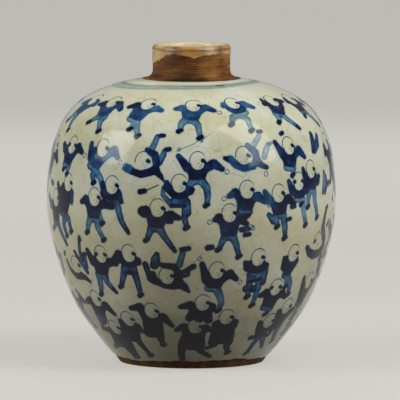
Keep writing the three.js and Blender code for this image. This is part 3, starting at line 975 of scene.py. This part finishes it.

# The cream itself, with greyish haze, a painted cool tint of the lamps' bluish reflections over
# the shoulder and upper body, and crossed by fine cracks
cream = cream_glaze.ramp(
    clouds, [(0.30, "cfc79c"), (0.45, "d7d1ab"), (0.58, "dcd8b8"), (0.72, "e0dec8")]
)
haze = spread(cream_glaze.noise(60, 3, 0.6), 0.52, 0.72, 0.0, 0.35)
cream = mix(haze, cream, colour("b9bfa9"))
# Painted light: the upper body is tinted cooler and bluer, as the soft boxes' reflections tint
# it, fading out by the lower belly.
painted_lamp_tint = spread(down, 70.0, 180.0, 1.0, 0.0)
cream = mix(painted_lamp_tint, cream, (0.93, 0.985, 1.08, 1.0), "MULTIPLY")
near = {"Vector": cream_glaze.place, "Scale": 120.0, "Detail": 2.0}
warp = cream_glaze.node("TexNoise", near).outputs[1]
bent = cream_glaze.node("VectorMath", {0: warp, 3: 0.006}, operation="SCALE").outputs[0]
bent = cream_glaze.node("VectorMath", {0: bent, 1: cream_glaze.place}, operation="ADD")
cells = {"Vector": bent.outputs[0], "Scale": 95.0}
cells = cream_glaze.node("TexVoronoi", cells, feature="DISTANCE_TO_EDGE").outputs[0]
crack = times(spread(cells, 0.0, 0.035, 1.0, 0.0), spread(blots, 0.4, 0.7, 0.10, 0.62))
cream = mix(crack, cream, colour("9e8960"))

# How much ink lies at each place: full in the jackets, pooled at the rims of the washes, and
# darker towards the foot
wobble = times(cream_glaze.math("SUBTRACT", bristle, 0.5), 0.9)
jacket_reach = cream_glaze.plus(jackets, wobble)
wash_reach = cream_glaze.plus(washes, wobble)
dark = times(
    jacket_ink,
    spread(blots, 0.34, 0.66, 0.92, 1.12),
    spread(down, 115.0, 190.0, 1.0, 1.14),
    spread(down, 60.0, 76.0, 1.15, 1.0),
    spread(jacket_reach, -0.3, 0.3, 1, 0),
)
pool = times(spread(wash_reach, -2.0, -0.3, 0.86, 1.12), spread(down, 45.0, 150.0, 1.12, 1.26))
uneven = spread(blots, 0.32, 0.68, 0.78, 1.12)
pale = times(wash_ink, pool, uneven, spread(wash_reach, -0.3, 0.3, 1, 0))
thin = spread(lines, 0.03, 0.42, 0.76, 0.0)
bleed = spread(jacket_reach, 0.2, 1.5, 0.11, 0.0)
ink = cream_glaze.math("MAXIMUM", dark, pale)
ink = cream_glaze.math("MAXIMUM", ink, bleed)
ink = cream_glaze.math("MAXIMUM", ink, thin, clamp=True)
cobalt = cream_glaze.ramp(
    ink,
    [
        (0.00, (1.0, 1.0, 1.0, 1.0)),
        (0.20, (0.60, 0.72, 0.85, 1.0)),
        (0.40, (0.23, 0.43, 0.70, 1.0)),
        (0.58, (0.075, 0.23, 0.54, 1.0)),
        (0.74, (0.018, 0.10, 0.38, 1.0)),
        (0.88, (0.003, 0.022, 0.16, 1.0)),
        (1.00, (0.002, 0.007, 0.055, 1.0)),
    ],
)
band = times(ring, spread(blots, 0.3, 0.7, 0.85, 1.1))
cream = mix(band, cream, colour("6a8c89"))
cream = mix(pale_ring, cream, colour("e9eddd"))
cream_glaze.surface(
    mix(1.0, cream, cobalt, "MULTIPLY"),
    spread(clouds, 0.3, 0.7, 0.09, 0.13),
    cream_glaze.relief(cream_glaze.noise(45, 2, 0.5), 0.6),
)
for side, first in (("front", -90.0), ("back", 90.0)):
    azimuth = np.linspace(first, first + 180.0, columns_round + 1)
    share = np.linspace(0, 1, upper_rows + 1)[:, None]
    upper = belly_down * share + np.zeros_like(azimuth)
    share = np.linspace(0, 1, lower_rows + 1)[:, None]
    lower = belly_down + (foot_edge(azimuth) - belly_down) * share
    for half, rows_down in (("upper", upper), ("lower", lower)):
        shell = glaze_shell(f"glaze_{half}_{side}", azimuth, rows_down)
        cream_glaze.put_on(shell)
        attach(shell, "root")
        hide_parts("outer_glaze")

# Glaze over the lip: a thin honey-coloured coat that ran down the neck by different
# amounts, so that its lower edge is ragged. It is amber, brown or creamy in places, with
# a dark line along the rim's outside, and it pales into the glaze inside.
lip_sides, lip_rows = 288, 28
edge_round, edge_sink, seam_sink = 0.5, 0.15, 0.02
runs = [  # (azimuth, how far the coat runs down from the top of the neck)
    (-73, 12.5), (-62, 10.2), (-50, 8.5), (-44.5, 7.6), (-43, 5.9), (-29, 5.1), (-15, 5.4),
    (-3.5, 6.8), (4, 7.6), (13, 6.5), (23, 5.5), (43, 5.2), (84, 6.3), (112, 8.2),
    (131, 5.6), (158, 6.4), (171, 9.1), (190, 7.0), (214, 5.3), (236, 6.2), (262, 9.4),
]
lip_azimuth = np.linspace(0, 360, lip_sides, endpoint=False)
turn = np.radians(lip_azimuth)
run_depth = np.interp(lip_azimuth, *np.array(runs).T, period=360)
run_depth += 0.22 * np.sin(17 * turn) + 0.15 * np.sin(31 * turn)
crest = moved_in(lip, -thin_glaze)
fall = np.linspace(1, 0, lip_rows)[:, None]
bottom = neck_top - run_depth
side_height = bottom + (crest[0, 1] - bottom) * (1 - fall)
rounding = np.clip((side_height - bottom) / edge_round, 0, 1) ** 0.5
sunk_radius = neck_radius - edge_sink
inner = np.vstack([lip[::-1], [(sunk_radius, neck_top - lip_outer)]]) - seam_sink
above = np.vstack([crest[1:], inner])[:, :, None] + np.zeros(lip_sides)
sunk = np.full(lip_sides, sunk_radius)
radius = np.vstack([neck_radius + thin_glaze * rounding, above[:, 0], sunk])
height = np.vstack([side_height, above[:, 1], bottom])
ring_count = len(radius)
points = np.stack([radius * np.sin(turn), -radius * np.cos(turn), height], -1) * MILLIMETRE
index = np.arange(ring_count * lip_sides).reshape(ring_count, lip_sides)
after = np.roll(index, -1, axis=1)
up, up_after = np.roll(index, -1, axis=0), np.roll(after, -1, axis=0)
faces = np.stack([index, after, up_after, up], -1).reshape(-1, 4).tolist()
lip_glaze = shaped("lip_glaze_run", points.reshape(-1, 3), faces)


def near_azimuth(*places):
    """A soft spot round each (azimuth, half width): e to the minus the square of the
    distance over the half width, for every point of the lip's glaze."""
    away = (lip_azimuth[:, None] - np.array(places)[:, 0] + 180) % 360 - 180
    spots = np.exp(-((away / np.array(places)[:, 1]) ** 2)).sum(axis=1)
    return np.tile(spots, ring_count).astype(np.float32)


for attribute, values in (
    ("stain", near_azimuth((-24, 8), (48, 5), (97, 14), (168, 9), (228, 16))),
    ("amber", near_azimuth((-3, 11), (72, 8), (135, 15), (198, 10), (262, 12))),
    ("creamy", near_azimuth((-58, 14), (30, 9), (118, 12), (182, 8), (245, 9))),
):
    lip_glaze.data.attributes.new(attribute, "FLOAT", "POINT").data.foreach_set("value", values)
honey = Finish("honey_glaze", Coat_Weight=0.3, Coat_Roughness=0.15)
smears = honey.noise(1.0, 4, 0.6, stretch=(90, 90, 260))
scuffs = honey.noise(420, 4, 0.7)
level = honey.node("SeparateXYZ", {0: honey.place}).outputs[2]
from_axis = honey.node("VectorMath", {0: honey.place, 1: (1.0, 1.0, 0.0)}, operation="MULTIPLY")
from_axis = honey.node("VectorMath", {0: from_axis.outputs[0]}, operation="LENGTH").outputs[1]
honey_colour = honey.ramp(
    smears, [(0.32, "8f6130"), (0.45, "ab7f48"), (0.55, "bd9860"), (0.68, "cdb284")]
)
for attribute, code in (("creamy", "cdb47c"), ("amber", "b8842a"), ("stain", "74503a")):
    share = honey.node("Attribute", attribute_name=attribute).outputs["Fac"]
    share = honey.math("MULTIPLY", share, honey.spread(scuffs, 0.35, 0.6, 0.7, 1.0), clamp=True)
    honey_colour = honey.mix(share, honey_colour, colour(code))
rim_line = honey.times(
    honey.spread(level, 0.2162, 0.2172, 0.0, 0.85),
    honey.spread(level, 0.2178, 0.2188, 1.0, 0.0),
    honey.spread(smears, 0.35, 0.6, 1.0, 0.4),
)
honey_colour = honey.mix(rim_line, honey_colour, colour("6f4a26"))
inside = honey.spread(from_axis, 0.0228, 0.0252, 0.92, 0.0)
inside = honey.times(inside, honey.spread(scuffs, 0.35, 0.65, 0.8, 1.0))
honey_colour = honey.mix(inside, honey_colour, colour("e2d3aa"))
honey_roughness = honey.spread(scuffs, 0.3, 0.7, 0.28, 0.5)
honey.surface(honey_colour, honey_roughness, honey.relief(smears, 0.25))
honey.put_on(lip_glaze)
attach(lip_glaze, "root")
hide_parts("lip_glaze")

# Studio: a wide pale floor, a soft box on each side of the camera and above it, a weak one
# behind that gives no highlights, and a long lens a little above the belly.
floor_radius, floor_sides = 16.0, 96
lamp_aim_height = 0.14
edge = np.radians(np.linspace(0, 360, floor_sides, endpoint=False))
flat = np.column_stack([np.cos(edge), np.sin(edge), np.zeros(floor_sides)])
floor = shaped("studio_floor", floor_radius * flat, [list(range(floor_sides))])
paper = Finish("pale_paper")
rays = paper.node("LightPath").outputs
seen = paper.math("MAXIMUM", rays["Is Camera Ray"], rays["Is Glossy Ray"])
seen = paper.math("MAXIMUM", seen, rays["Is Transmission Ray"])
pale_grey = paper.node("BsdfDiffuse", {"Color": colour("7e7d7a")}).outputs[0]
glow = paper.node("Emission", {"Color": colour("bfbdb8"), "Strength": 0.86}).outputs[0]
shown = paper.node("AddShader", {0: pale_grey, 1: glow}).outputs[0]
unseen = paper.node("BsdfDiffuse", {"Color": colour("2e2c2a")}).outputs[0]
either = paper.node("MixShader", {0: seen, 1: unseen, 2: shown}).outputs[0]
paper.tree.links.new(either, paper.tree.nodes["Material Output"].inputs["Surface"])
paper.tree.nodes.remove(paper.shader)
paper.put_on(floor)

world = bpy.data.worlds.new("studio_air")
world.use_nodes = True
air = world.node_tree.nodes["Background"].inputs
air["Color"].default_value = colour("e4e2dd")
air["Strength"].default_value = 0.34
bpy.context.scene.world = world


def soft_box(name, azimuth, elevation, distance, width, height, brightness, mirrored=True):
    """A soft box at a distance from the jar's belly, turned to face it. Its power is its
    brightness times pi times its area. A box that isn't mirrored gives no highlights."""
    azimuth, elevation = np.radians([azimuth, elevation])
    flat = np.cos(elevation)
    way = np.array([np.sin(azimuth) * flat, -np.cos(azimuth) * flat, np.sin(elevation)])
    light = bpy.data.lights.new(name, "AREA")
    light.shape = "RECTANGLE"
    light.size, light.size_y = width, height
    light.energy = brightness * math.pi * width * height
    lamp = bpy.data.objects.new(name, light)
    lamp.location = way * distance + np.array([0.0, 0.0, lamp_aim_height])
    lamp.rotation_euler = Vector(way.tolist()).to_track_quat("Z", "Y").to_euler()
    lamp.visible_glossy = mirrored
    bpy.context.scene.collection.objects.link(lamp)


soft_box("soft_box_left", -69, 28, 1.2, 0.62, 0.62, 6.0)
soft_box("soft_box_right", 60, 38, 1.2, 0.58, 1.05, 5.6)
soft_box("soft_box_behind", 180, 24, 1.9, 1.50, 0.90, 2.0, mirrored=False)

camera_data = bpy.data.cameras.new("long_lens")
camera_data.lens = 649.0
camera_data.clip_end = 50.0
camera = bpy.data.objects.new("long_lens", camera_data)
elevation = math.radians(5.5)
camera_distance = 5.0
aim_right, aim_height = 0.0059, 0.1117
camera.location = (
    aim_right,
    -camera_distance * math.cos(elevation),
    aim_height + camera_distance * math.sin(elevation),
)
camera.rotation_euler = (math.pi / 2 - elevation, 0.0, 0.0)
bpy.context.scene.collection.objects.link(camera)
bpy.context.scene.camera = camera
bpy.context.scene.view_settings.view_transform = "Standard"
